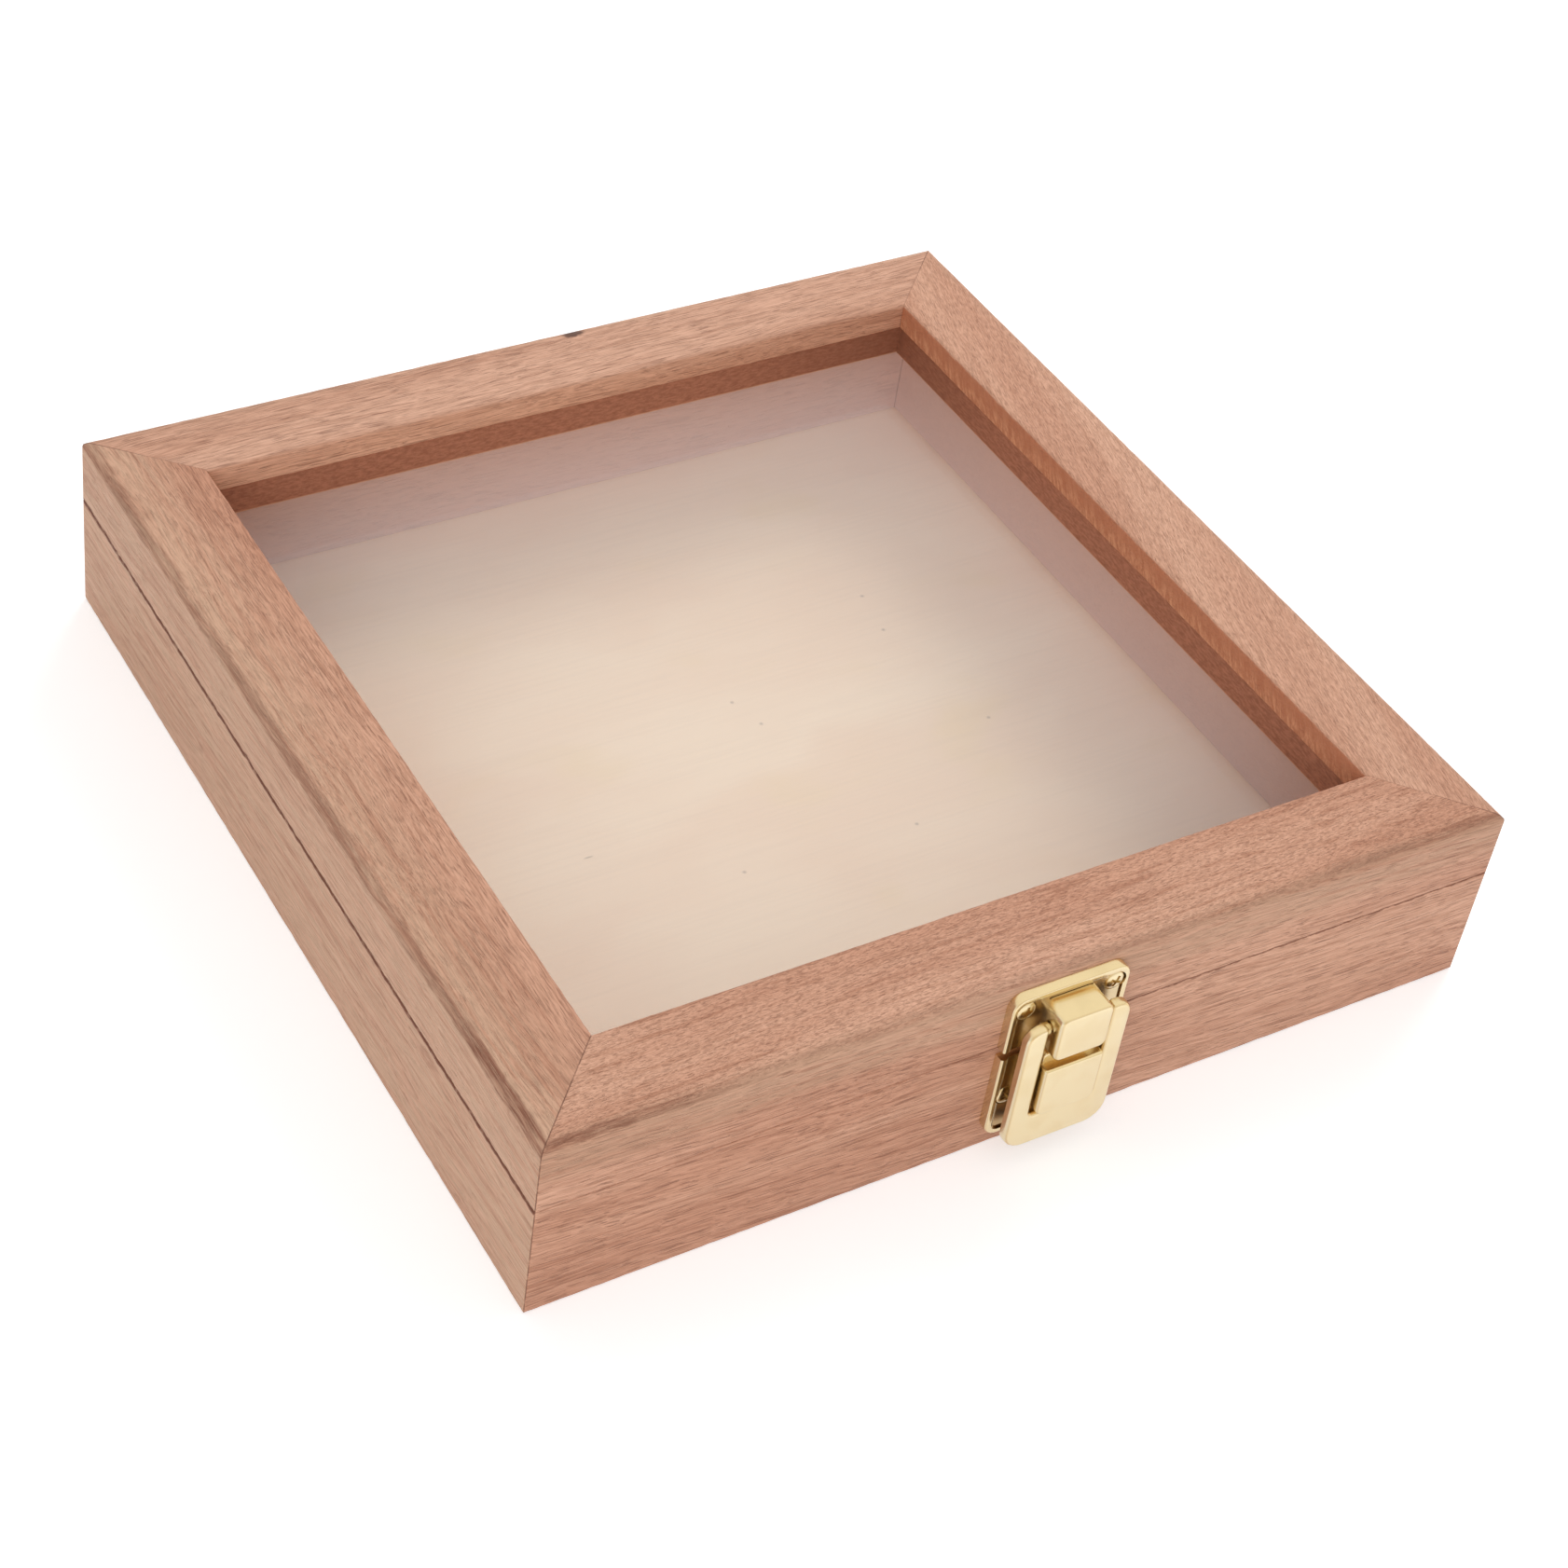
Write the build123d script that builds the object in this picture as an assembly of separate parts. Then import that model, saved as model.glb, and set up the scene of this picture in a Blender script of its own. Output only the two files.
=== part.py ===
from build123d import *
import os

os.makedirs("parts", exist_ok=True)

# A square wooden display box for jewelry, with a glazed lid, two hinges behind and a flap latch in front.
# All sizes are in millimetres. X runs along the front to the right, Y from front to back and Z up.
# The origin is the middle of the underside.

# Whole box
box_width = 200.0
box_depth = 200.0
base_height = 25.8
lid_height = 15.4
upright_corner_radius = 0.6
seam_bevel = 0.25

# Base tray: four mitred walls round a thin plywood floor that is let in from below
wall_thickness = 8.0
floor_thickness = 2.7
floor_reach_under_wall = 4.0
floor_play = 0.2
foot_edge_radius = 0.6

# Lid frame: four mitred rails, each with a lip at the top and a rabbet below it
rail_width = 18.9
rail_top_fall = 1.0
rail_outer_radius = 1.5
rail_inner_radius = 0.9
lip_height = 5.9
rabbet_width = 5.0

# Glazing: a pane let in from below, up against dark strips that line the rabbet
glass_thickness = 1.8
glass_above_seam = 0.2
glass_play = 0.3
strip_setback = 1.0
strip_gap_under_lip = 0.2

# Stop hinges: two leaves let into the seam, with tails behind the knuckle that meet when the lid is open
hinge_length = 20.0
hinge_from_side = 38.0
leaf_thickness = 0.8
leaf_inset = 6.8
leaf_play = 0.2
knuckle_radius = 1.5
knuckle_to_wood = 0.3
knuckle_end_gap = 0.2
hinge_pin_radius = 0.6
hinge_pin_overhang = 0.4
tail_reach = 5.0
tail_thickness = 0.8
tail_clearance = 0.5
lid_opening_angle = 105.5

# Hinge screws, countersunk
hinge_screw_head_radius = 1.5
hinge_screw_head_depth = 0.9
hinge_screw_shank_radius = 0.75
hinge_screw_length = 7.0
hinge_screw_spacing = 13.0
hinge_screw_sunk = 0.08

# Latch plates: two pressed brass trays, one each side of the seam
latch_from_centre = 1.8
plate_width = 24.6
plate_rise = 2.0
plate_sheet = 0.7
plate_rim = 1.5
plate_dish = 0.3
plate_bevel = 0.55
plate_outer_radius = 2.8
plate_seam_radius = 1.0
lid_plate_above_seam = 0.4
lid_plate_height = 12.6
base_plate_below_seam = 1.4
base_plate_height = 19.8

# Hinge box pressed out of the lid plate, and catch box pressed out of the base plate
box_sheet = 0.9
hinge_box_width = 11.0
hinge_box_height = 10.4
hinge_box_rise = 7.4
hinge_box_edge_radius = 0.9
hinge_box_back_gap = 0.9
catch_box_width = 12.2
catch_box_height = 11.6
catch_box_rise = 7.0
catch_box_top_below_plate = 0.6
catch_box_edge_radius = 0.9
catch_box_corner_radius = 1.5

# Latch flap: a U-shaped pressing that turns on a pin through the hinge box
flap_width = 21.8
flap_sheet = 1.0
flap_front_rise = 6.0
flap_flange = 2.0
flap_top_above_pin = 1.9
flap_overhang_below_plate = 0.7
flap_bottom_radius = 4.4
flap_top_radius = 3.2
flap_edge_radius = 0.7
window_side_gap = 0.5
window_bottom_gap = 0.4
latch_pin_radius = 0.8
latch_pin_rise = 4.0
latch_pin_above_seam = 6.3
latch_pin_overhang = 0.4
lug_thickness = 1.0
lug_gap = 0.3

# Latch screws, countersunk, with a cross recess
latch_screw_head_radius = 1.95
latch_screw_head_depth = 1.1
latch_screw_shank_radius = 0.95
latch_screw_length = 7.5
latch_screw_from_middle = 9.3
lid_screw_above_seam = 9.6
base_screw_below_seam = 11.6

# Cross recess, as shares of the head that it is cut in
recess_reach_share = 0.62
recess_slot_share = 0.2
recess_depth_share = 0.6

# Clearances shared by every screw hole and hinge pin
screw_clearance = 0.04
pin_clearance = 0.05

# Heights and places worked out from the sizes above
seam = base_height
lid_top = seam + lid_height
lip_bottom = lid_top - lip_height
strip_bottom = seam + glass_above_seam + glass_thickness
strip_top = lip_bottom - strip_gap_under_lip
strip_thickness = rabbet_width - strip_setback
front_face = -box_depth / 2
back_face = box_depth / 2
sides = {"front": 0, "right": 90, "back": 180, "left": 270}


def nearest(face, point):
    """The corner of a flat outline that lies nearest to a point of it."""
    return face.vertices().sort_by_distance(Vector(point[0], point[1], 0))[0]


def rounded_outline(points, radii):
    """A closed outline through the points, rounded at the corners that radii names."""
    face = make_face(Polyline(*points, close=True))
    for point, radius in radii:
        face = fillet(nearest(face, point), radius)
    return face


def frame_side(outline, inner_reach, angle):
    """One mitred side of a square frame. The outline lies across the side: its first direction runs
    inwards from the box's outer face and its second runs up."""
    along_front = angle in (0, 180)
    length = box_width if along_front else box_depth
    to_face = (box_depth if along_front else box_width) / 2
    across = Plane(origin=(-length / 2, -to_face, 0), x_dir=(0, 1, 0), z_dir=(1, 0, 0))
    bar = extrude(across * outline, amount=length)
    half = length / 2
    mitre = make_face(Polyline(
        (-half, -to_face),
        (half, -to_face),
        (half - inner_reach, -to_face + inner_reach),
        (-half + inner_reach, -to_face + inner_reach),
        close=True,
    ))
    bar = bar & extrude(mitre, amount=lid_top)
    corners = extrude(RectangleRounded(length, 2 * to_face, upright_corner_radius), amount=lid_top)
    return Rot(0, 0, angle) * (bar & corners)


def block(x_range, y_range, z_range):
    """A plain block between two corners."""
    size = [high - low for low, high in (x_range, y_range, z_range)]
    centre = [(high + low) / 2 for low, high in (x_range, y_range, z_range)]
    return Pos(*centre) * Box(*size)


def rod_along_x(radius, x_range, y, z):
    """A round rod that lies along X."""
    length = x_range[1] - x_range[0]
    return Pos((x_range[0] + x_range[1]) / 2, y, z) * Rot(0, 90, 0) * Cylinder(radius, length)


def screw_body(head_radius, head_depth, shank_radius, length, grow=0.0):
    """A countersunk screw with its head's face at the origin and its shank pointing down."""
    half_section = make_face(Polyline(
        (0, 0),
        (head_radius + grow, 0),
        (shank_radius + grow, -head_depth),
        (shank_radius + grow, -length - grow),
        (0, -length - grow),
        close=True,
    ))
    return revolve(Plane.XZ * half_section, axis=Axis.Z)


def cross_recess(head_radius, head_depth):
    """The cross that a driver fits in, cut down from the head's face."""
    reach = head_radius * recess_reach_share
    slot = head_radius * recess_slot_share
    depth = head_depth * recess_depth_share
    arm = block((-reach, reach), (-slot, slot), (-depth, depth))
    return arm + Rot(0, 0, 90) * arm


hinge_screw_sizes = (hinge_screw_head_radius, hinge_screw_head_depth, hinge_screw_shank_radius, hinge_screw_length)
latch_screw_sizes = (latch_screw_head_radius, latch_screw_head_depth, latch_screw_shank_radius, latch_screw_length)


def screws(sizes, places):
    """A group of like screws, each at its own place."""
    screw = screw_body(*sizes) - cross_recess(sizes[0], sizes[1])
    return Compound(children=[place * screw for place in places])


def drilled(solid, sizes, places):
    """A solid with a hole for each screw that passes into it."""
    for place in places:
        solid = solid - place * screw_body(*sizes, grow=screw_clearance)
    return solid


# Places of the hinge screws: heads up in the base, heads down in the lid
hinge_from_middle = box_width / 2 - hinge_from_side
hinge_centres = {"left": -hinge_from_middle, "right": hinge_from_middle}
hinge_screw_y = back_face - leaf_inset / 2
hinge_screw_x = [centre + side * hinge_screw_spacing / 2 for centre in hinge_centres.values() for side in (-1, 1)]
hinge_base_places = [Pos(x, hinge_screw_y, seam - hinge_screw_sunk) for x in hinge_screw_x]
hinge_lid_places = [Pos(x, hinge_screw_y, seam + hinge_screw_sunk) * Rot(180, 0, 0) for x in hinge_screw_x]

# Places of the latch screws: heads to the front, flush with the dished face of the plates
latch_x = latch_from_centre
dish_face = plate_rise - plate_dish
latch_screw_y = front_face - dish_face
latch_screw_x = [latch_x - latch_screw_from_middle, latch_x + latch_screw_from_middle]
lid_screw_z = seam + lid_screw_above_seam
base_screw_z = seam - base_screw_below_seam
latch_lid_places = [Pos(x, latch_screw_y, lid_screw_z) * Rot(90, 0, 0) for x in latch_screw_x]
latch_base_places = [Pos(x, latch_screw_y, base_screw_z) * Rot(90, 0, 0) for x in latch_screw_x]

parts = {}

# Base walls, rounded at the foot and eased at the seam
foot_width = wall_thickness - floor_reach_under_wall
wall_outline = rounded_outline(
    [
        (0, 0),
        (foot_width, 0),
        (foot_width, floor_thickness),
        (wall_thickness, floor_thickness),
        (wall_thickness, seam),
        (seam_bevel, seam),
        (0, seam - seam_bevel),
    ],
    [((0, 0), foot_edge_radius)],
)
for side, angle in sides.items():
    parts["base_wall_" + side] = frame_side(wall_outline, wall_thickness, angle)

# Floor panel, its underside level with the walls' feet
floor_width = box_width - 2 * foot_width - 2 * floor_play
floor_depth = box_depth - 2 * foot_width - 2 * floor_play
parts["base_floor_panel"] = block(
    (-floor_width / 2, floor_width / 2),
    (-floor_depth / 2, floor_depth / 2),
    (0, floor_thickness),
)

# Lid rails, their tops falling a little towards the outside
stem_width = rail_width - rabbet_width
outer_top = lid_top - rail_top_fall
rail_outline = rounded_outline(
    [
        (0, seam + seam_bevel),
        (seam_bevel, seam),
        (stem_width, seam),
        (stem_width, lip_bottom),
        (rail_width, lip_bottom),
        (rail_width, lid_top),
        (0, outer_top),
    ],
    [((0, outer_top), rail_outer_radius), ((rail_width, lid_top), rail_inner_radius)],
)
for side, angle in sides.items():
    parts["lid_rail_" + side] = frame_side(rail_outline, rail_width, angle)

# Dark strips under the lip, with the pane against their lower edges
strip_face = stem_width + strip_thickness
strip_outline = rounded_outline(
    [
        (stem_width, strip_bottom),
        (strip_face, strip_bottom),
        (strip_face, strip_top),
        (stem_width, strip_top),
    ],
    [],
)
for side, angle in sides.items():
    parts["glass_strip_" + side] = frame_side(strip_outline, rail_width, angle)

# Glass pane
glass_width = box_width - 2 * stem_width - 2 * glass_play
glass_depth = box_depth - 2 * stem_width - 2 * glass_play
parts["glass_pane"] = block(
    (-glass_width / 2, glass_width / 2),
    (-glass_depth / 2, glass_depth / 2),
    (strip_bottom - glass_thickness, strip_bottom),
)

# Hinge axis, behind the back face at the height of the seam
hinge_y = back_face + knuckle_radius + knuckle_to_wood
hinge_z = seam
tail_start = knuckle_radius + tail_clearance
knuckle_step = hinge_length / 3


def knuckle_spans(middle):
    """The stretches of the hinge's length that one leaf's knuckles fill: the middle third or the two outer ones."""
    half = hinge_length / 2
    inner = knuckle_step / 2
    if middle:
        return [(-inner + knuckle_end_gap / 2, inner - knuckle_end_gap / 2)]
    return [(-half, -inner - knuckle_end_gap / 2), (inner + knuckle_end_gap / 2, half)]


def hinge_leaf(centre, for_lid):
    """One leaf: a plate in the seam, its knuckles, and a tail whose inner face lies in a plane through the pin."""
    up = 1 if for_lid else -1
    plate_z = sorted((hinge_z, hinge_z + up * leaf_thickness))
    half = hinge_length / 2
    leaf = block((centre - half, centre + half), (back_face - leaf_inset, back_face), plate_z)
    tail_angle = up * lid_opening_angle / 2
    tail_frame = Pos(centre, hinge_y, hinge_z) * Rot(tail_angle, 0, 0)
    tail_z = sorted((0, up * tail_thickness))
    leaf = leaf + tail_frame * block((-half, half), (tail_start, tail_reach), tail_z)
    for low, high in knuckle_spans(for_lid):
        span = (centre + low, centre + high)
        leaf = leaf + block(span, (back_face, hinge_y), plate_z)
        leaf = leaf + rod_along_x(knuckle_radius, span, hinge_y, hinge_z)
        leaf = leaf + tail_frame * block((low, high), (hinge_pin_radius + pin_clearance, tail_start), tail_z)
    bore = rod_along_x(hinge_pin_radius + pin_clearance, (centre - half, centre + half), hinge_y, hinge_z)
    return leaf - bore


for side, centre in hinge_centres.items():
    base_leaf = drilled(hinge_leaf(centre, False), hinge_screw_sizes, hinge_base_places)
    lid_leaf = drilled(hinge_leaf(centre, True), hinge_screw_sizes, hinge_lid_places)
    parts[side + "_hinge_base_leaf"] = base_leaf
    parts[side + "_hinge_lid_leaf"] = lid_leaf
    pin_half = hinge_length / 2 + hinge_pin_overhang
    parts[side + "_hinge_pin"] = rod_along_x(
        hinge_pin_radius, (centre - pin_half, centre + pin_half), hinge_y, hinge_z)

# Beds for the hinge leaves, cut into the back wall and the back rail, and the holes for their screws
for node, up, places in (
    ("base_wall_back", -1, hinge_base_places),
    ("lid_rail_back", 1, hinge_lid_places),
):
    for centre in hinge_centres.values():
        half = hinge_length / 2 + leaf_play
        bed_z = sorted((seam, seam + up * leaf_thickness))
        bed = block((centre - half, centre + half), (back_face - leaf_inset - leaf_play, back_face), bed_z)
        parts[node] = parts[node] - bed
    parts[node] = drilled(parts[node], hinge_screw_sizes, places)

parts["hinge_base_screws"] = screws(hinge_screw_sizes, hinge_base_places)
parts["hinge_lid_screws"] = screws(hinge_screw_sizes, hinge_lid_places)

# The latch is drawn on the box's front face: X to the right, Y up from the underside and Z out to the front
latch_frame = Plane(origin=(latch_x, front_face, 0), x_dir=(1, 0, 0), z_dir=(0, -1, 0))
lid_plate_low = seam + lid_plate_above_seam
lid_plate_high = lid_plate_low + lid_plate_height
base_plate_high = seam - base_plate_below_seam
base_plate_low = base_plate_high - base_plate_height
pin_height = seam + latch_pin_above_seam


def latch_plate(low, high, seam_at_low):
    """A pressed tray with bevelled edges. Its face is dished inside a rim that stays open towards the seam."""
    half = plate_width / 2
    seam_end, far_end = (low, high) if seam_at_low else (high, low)
    corners = [(-half, low), (half, low), (half, high), (-half, high)]
    radii = [(c, plate_seam_radius if c[1] == seam_end else plate_outer_radius) for c in corners]
    tray = extrude(rounded_outline(corners, radii), amount=plate_rise)
    tray = chamfer(tray.faces().sort_by(Axis.Z)[-1].edges(), plate_bevel)
    rim_half = half - plate_rim
    inward = 1 if seam_at_low else -1
    dish_far = far_end - inward * plate_rim
    dish_seam = seam_end - inward * plate_rim
    dish_corners = [(-rim_half, dish_far), (rim_half, dish_far), (rim_half, dish_seam), (-rim_half, dish_seam)]
    dish_radius = max(plate_outer_radius - plate_rim, plate_bevel)
    dish = extrude(rounded_outline(dish_corners, [(c, dish_radius) for c in dish_corners[:2]]), amount=plate_rise)
    tray = tray - Pos(0, 0, dish_face) * dish
    hollow_depth = dish_face - plate_sheet
    hollow = block(
        (-rim_half, rim_half),
        sorted((far_end - inward * plate_rim, seam_end + inward * plate_sheet)),
        (0, hollow_depth),
    )
    return tray - hollow


def pressed_box(width, low, high, rise, edge_radius, corner_radius, closed_at_high):
    """A hollow box that stands out of a plate, open at its back and at the end that faces the seam."""
    half = width / 2
    closed_end = high if closed_at_high else low
    outline = rounded_outline(
        [(-half, low), (half, low), (half, high), (-half, high)],
        [((-half, closed_end), corner_radius), ((half, closed_end), corner_radius)],
    )
    shell = extrude(outline, amount=rise)
    shell = fillet(shell.faces().sort_by(Axis.Z)[-1].edges(), edge_radius)
    inner_half = half - box_sheet
    if closed_at_high:
        inside_span = (low - box_sheet, high - box_sheet)
    else:
        inside_span = (low + box_sheet, high + box_sheet)
    inside = block((-inner_half, inner_half), inside_span, (0, rise - box_sheet))
    return shell, inside


# Lid plate with its hinge box, whose folded top stops a little short of the plate
hinge_box_low = lid_plate_low
hinge_box_high = hinge_box_low + hinge_box_height
hinge_box_half = hinge_box_width / 2
hinge_box, hinge_box_inside = pressed_box(
    hinge_box_width, hinge_box_low, hinge_box_high, hinge_box_rise,
    hinge_box_edge_radius, hinge_box_edge_radius, True)
back_gap = block(
    (-hinge_box_half + box_sheet, hinge_box_half - box_sheet),
    (hinge_box_high - 2 * box_sheet, hinge_box_high + box_sheet),
    (dish_face, dish_face + hinge_box_back_gap),
)
latch_bore = rod_along_x(latch_pin_radius + pin_clearance, (-flap_width, flap_width), pin_height, latch_pin_rise)
lid_plate = latch_plate(lid_plate_low, lid_plate_high, True) + hinge_box
lid_plate = lid_plate - hinge_box_inside - back_gap - latch_bore
parts["latch_lid_plate"] = drilled(latch_frame * lid_plate, latch_screw_sizes, latch_lid_places)

# Base plate with its catch box
catch_box_high = base_plate_high - catch_box_top_below_plate
catch_box_low = catch_box_high - catch_box_height
catch_box_half = catch_box_width / 2
catch_box, catch_box_inside = pressed_box(
    catch_box_width, catch_box_low, catch_box_high, catch_box_rise,
    catch_box_edge_radius, catch_box_corner_radius, False)
base_plate = latch_plate(base_plate_low, base_plate_high, False) + catch_box - catch_box_inside
parts["latch_base_plate"] = drilled(latch_frame * base_plate, latch_screw_sizes, latch_base_places)

# Pin through the hinge box, long enough to carry the flap's lugs
lug_inner = hinge_box_half + lug_gap
lug_outer = lug_inner + lug_thickness
pin_half = lug_outer + latch_pin_overhang
parts["latch_pin"] = latch_frame * rod_along_x(
    latch_pin_radius, (-pin_half, pin_half), pin_height, latch_pin_rise)

# Flap: a skin with a flange round its sides and bottom, a window for the two boxes, and two lugs on the pin
flap_half = flap_width / 2
flap_low = base_plate_low - flap_overhang_below_plate
flap_high = pin_height + flap_top_above_pin
flap_back = flap_front_rise - flap_flange
skin_back = flap_front_rise - flap_sheet
flap_outline = rounded_outline(
    [(-flap_half, flap_low), (flap_half, flap_low), (flap_half, flap_high), (-flap_half, flap_high)],
    [
        ((-flap_half, flap_low), flap_bottom_radius),
        ((flap_half, flap_low), flap_bottom_radius),
        ((-flap_half, flap_high), flap_top_radius),
        ((flap_half, flap_high), flap_top_radius),
    ],
)
flap = Pos(0, 0, flap_back) * extrude(flap_outline, amount=flap_flange)
flap = fillet(flap.faces().sort_by(Axis.Z)[-1].edges(), flap_edge_radius)
pocket_half = flap_half - flap_sheet
pocket_radius = max(flap_bottom_radius - flap_sheet, flap_edge_radius)
pocket_low = flap_low + flap_sheet
pocket_high = flap_high + flap_sheet
pocket_outline = rounded_outline(
    [(-pocket_half, pocket_low), (pocket_half, pocket_low), (pocket_half, pocket_high), (-pocket_half, pocket_high)],
    [((-pocket_half, pocket_low), pocket_radius), ((pocket_half, pocket_low), pocket_radius)],
)
flap = flap - Pos(0, 0, flap_back) * extrude(pocket_outline, amount=skin_back - flap_back)
window_half = max(catch_box_half, hinge_box_half) + window_side_gap
window_low = catch_box_low - window_bottom_gap
flap = flap - block((-window_half, window_half), (window_low, pocket_high), (0, hinge_box_rise))
lug_radius = flap_top_above_pin
lug_span = (pin_height - lug_radius, pin_height + lug_radius)
for span in ((-lug_outer, -lug_inner), (lug_inner, lug_outer)):
    lug = rod_along_x(lug_radius, span, pin_height, latch_pin_rise)
    lug = lug + block(span, lug_span, (latch_pin_rise, flap_front_rise - flap_edge_radius))
    flap = flap + lug
parts["latch_flap"] = latch_frame * (flap - latch_bore)

# Screws of the latch, and their holes in the wood behind the plates
parts["latch_lid_screws"] = screws(latch_screw_sizes, latch_lid_places)
parts["latch_base_screws"] = screws(latch_screw_sizes, latch_base_places)
parts["lid_rail_front"] = drilled(parts["lid_rail_front"], latch_screw_sizes, latch_lid_places)
parts["base_wall_front"] = drilled(parts["base_wall_front"], latch_screw_sizes, latch_base_places)

for name, shape in parts.items():
    export_step(shape, "parts/" + name + ".step")
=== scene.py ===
import bmesh
import bpy
import math
from mathutils import Matrix, Vector
from types import SimpleNamespace


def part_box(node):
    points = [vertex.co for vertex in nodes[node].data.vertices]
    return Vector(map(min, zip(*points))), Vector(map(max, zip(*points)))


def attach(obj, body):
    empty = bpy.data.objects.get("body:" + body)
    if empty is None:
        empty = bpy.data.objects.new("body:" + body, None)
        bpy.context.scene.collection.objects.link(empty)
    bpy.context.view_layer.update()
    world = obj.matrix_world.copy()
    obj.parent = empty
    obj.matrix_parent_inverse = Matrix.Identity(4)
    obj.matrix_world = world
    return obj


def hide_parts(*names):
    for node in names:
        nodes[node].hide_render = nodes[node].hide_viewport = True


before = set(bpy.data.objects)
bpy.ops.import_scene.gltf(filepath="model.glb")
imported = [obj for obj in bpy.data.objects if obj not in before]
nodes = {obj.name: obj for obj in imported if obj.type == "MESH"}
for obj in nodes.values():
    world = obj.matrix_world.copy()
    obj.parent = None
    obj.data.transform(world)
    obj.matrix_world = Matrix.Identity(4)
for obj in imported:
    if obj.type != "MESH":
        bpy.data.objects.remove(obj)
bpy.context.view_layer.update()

# Camera. It looks down by 40 degrees from beyond the front left corner, as the photographer did.
# Its lens is a short telephoto, shifted a little, because the picture was cropped off centre.
def in_scene(name, data):
    """A new object for a camera, lamp, curve or mesh, put in the scene."""
    made = bpy.data.objects.new(name, data)
    bpy.context.scene.collection.objects.link(made)
    return made


camera_data = bpy.data.cameras.new("camera")
camera_data.lens = 73.38
camera_data.sensor_width = 36.0
camera_data.shift_x = 0.07595
camera_data.shift_y = -0.08899
camera_data.clip_start = 0.01
camera = in_scene("camera", camera_data)
camera_right = (0.8723, -0.4786, 0.1000)
camera_up = (0.2436, 0.6028, 0.7598)
camera_back = (-0.4239, -0.6384, 0.6424)
camera_turn = Matrix((camera_right, camera_up, camera_back)).transposed()
camera.matrix_world = Matrix.Translation((-0.27667, -0.38206, 0.42639)) @ camera_turn.to_4x4()
bpy.context.scene.camera = camera
bpy.context.scene.view_settings.view_transform = "Standard"

# Base walls. Four lengths of pink-brown hardwood, 8 mm thick, mitred and glued at the corners.
# Each was sawn off the same bar as the lid's rail above it, so the grain runs on across the seam.
# Sizes read from the frame, or written with this factor, are in metres, and the others in millimetres
mm = 0.001
box_low, box_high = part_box("lid_rail_front")
half_width = -box_low.y
seam_height = box_low.z
lid_top = box_high.z
wall_thickness = 8.0 * mm
floor_reach = 4.0 * mm
floor_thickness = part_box("base_floor_panel")[1].z
upright_corner_radius = 0.6 * mm
lid_top_fall = 1.0
rail_outer_height = lid_top / mm - lid_top_fall
wood_wear = 0.09
stations_along = 160
sides = {"front": 0, "right": 90, "back": 180, "left": 270}


def screen_colour(red, green, blue):
    """A colour given as it shows on a screen, 0 to 255, as the shaders need it."""
    shares = [value / 255 for value in (red, green, blue)]
    linear = [s / 12.92 if s <= 0.04045 else ((s + 0.055) / 1.055) ** 2.4 for s in shares]
    return (*linear, 1.0)


def give(tree, node, inputs):
    """Sets inputs of a node, each to a fixed value or to the output of another node."""
    for label, value in inputs.items():
        if isinstance(value, bpy.types.NodeSocket):
            tree.links.new(value, node.inputs[label])
        else:
            node.inputs[label].default_value = value


def added(tree, kind, inputs):
    """A new node with its inputs set."""
    node = tree.nodes.new(kind)
    give(tree, node, inputs)
    return node


def maths(tree, operation, *values):
    """One sum on numbers."""
    node = added(tree, "ShaderNodeMath", dict(enumerate(values)))
    node.operation = operation
    return node.outputs[0]


def product(tree, *values):
    """Several numbers multiplied."""
    result = values[0]
    for value in values[1:]:
        result = maths(tree, "MULTIPLY", result, value)
    return result


def vector_maths(tree, operation, *values):
    """One sum on vectors."""
    node = added(tree, "ShaderNodeVectorMath", dict(enumerate(values)))
    node.operation = operation
    return node.outputs["Value" if operation in ("LENGTH", "DISTANCE") else "Vector"]


def split(tree, vector):
    """The three parts of a vector."""
    return added(tree, "ShaderNodeSeparateXYZ", {0: vector}).outputs


def join(tree, x, y, z):
    """A vector from three numbers."""
    return added(tree, "ShaderNodeCombineXYZ", {0: x, 1: y, 2: z}).outputs[0]


def noise(tree, place, stretch, detail=2.0, roughness=0.5, output="Fac"):
    """Soft noise. Stretch is how many of its waves fit in a millimetre along each direction."""
    stretched = vector_maths(tree, "MULTIPLY", place, stretch)
    return added(tree, "ShaderNodeTexNoise", {
        "Vector": stretched, "Scale": 1.0, "Detail": detail, "Roughness": roughness}).outputs[output]


def wobble(tree, place, stretch, reach):
    """Noise as a shift of up to half of reach either way, in millimetres."""
    shift = vector_maths(tree, "SUBTRACT", noise(tree, place, stretch, 2.0, output="Color"), (0.5, 0.5, 0.5))
    return vector_maths(tree, "MULTIPLY", shift, reach)


def fade(tree, value, low, high, bottom=0.0, top=1.0):
    """A smooth step from bottom to top as the value goes from low to high."""
    node = added(tree, "ShaderNodeMapRange", {
        "Value": value, "From Min": low, "From Max": high, "To Min": bottom, "To Max": top})
    node.interpolation_type = "SMOOTHSTEP"
    return node.outputs[0]


def between(tree, value, low, high, edge):
    """One where the value lies between low and high, and a soft fall to nought outside them."""
    rise = fade(tree, value, low - edge, low)
    return maths(tree, "MULTIPLY", rise, fade(tree, value, high, high + edge, 1.0, 0.0))


def tint(tree, share, first, second, how="MIX"):
    """Two colours mixed."""
    node = tree.nodes.new("ShaderNodeMix")
    node.data_type = "RGBA"
    node.blend_type = how
    give(tree, node, {0: share, 6: first, 7: second})
    return node.outputs[2]


def either(tree, share, first, second):
    """Two numbers mixed."""
    return added(tree, "ShaderNodeMix", {0: share, 2: first, 3: second}).outputs[0]


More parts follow.
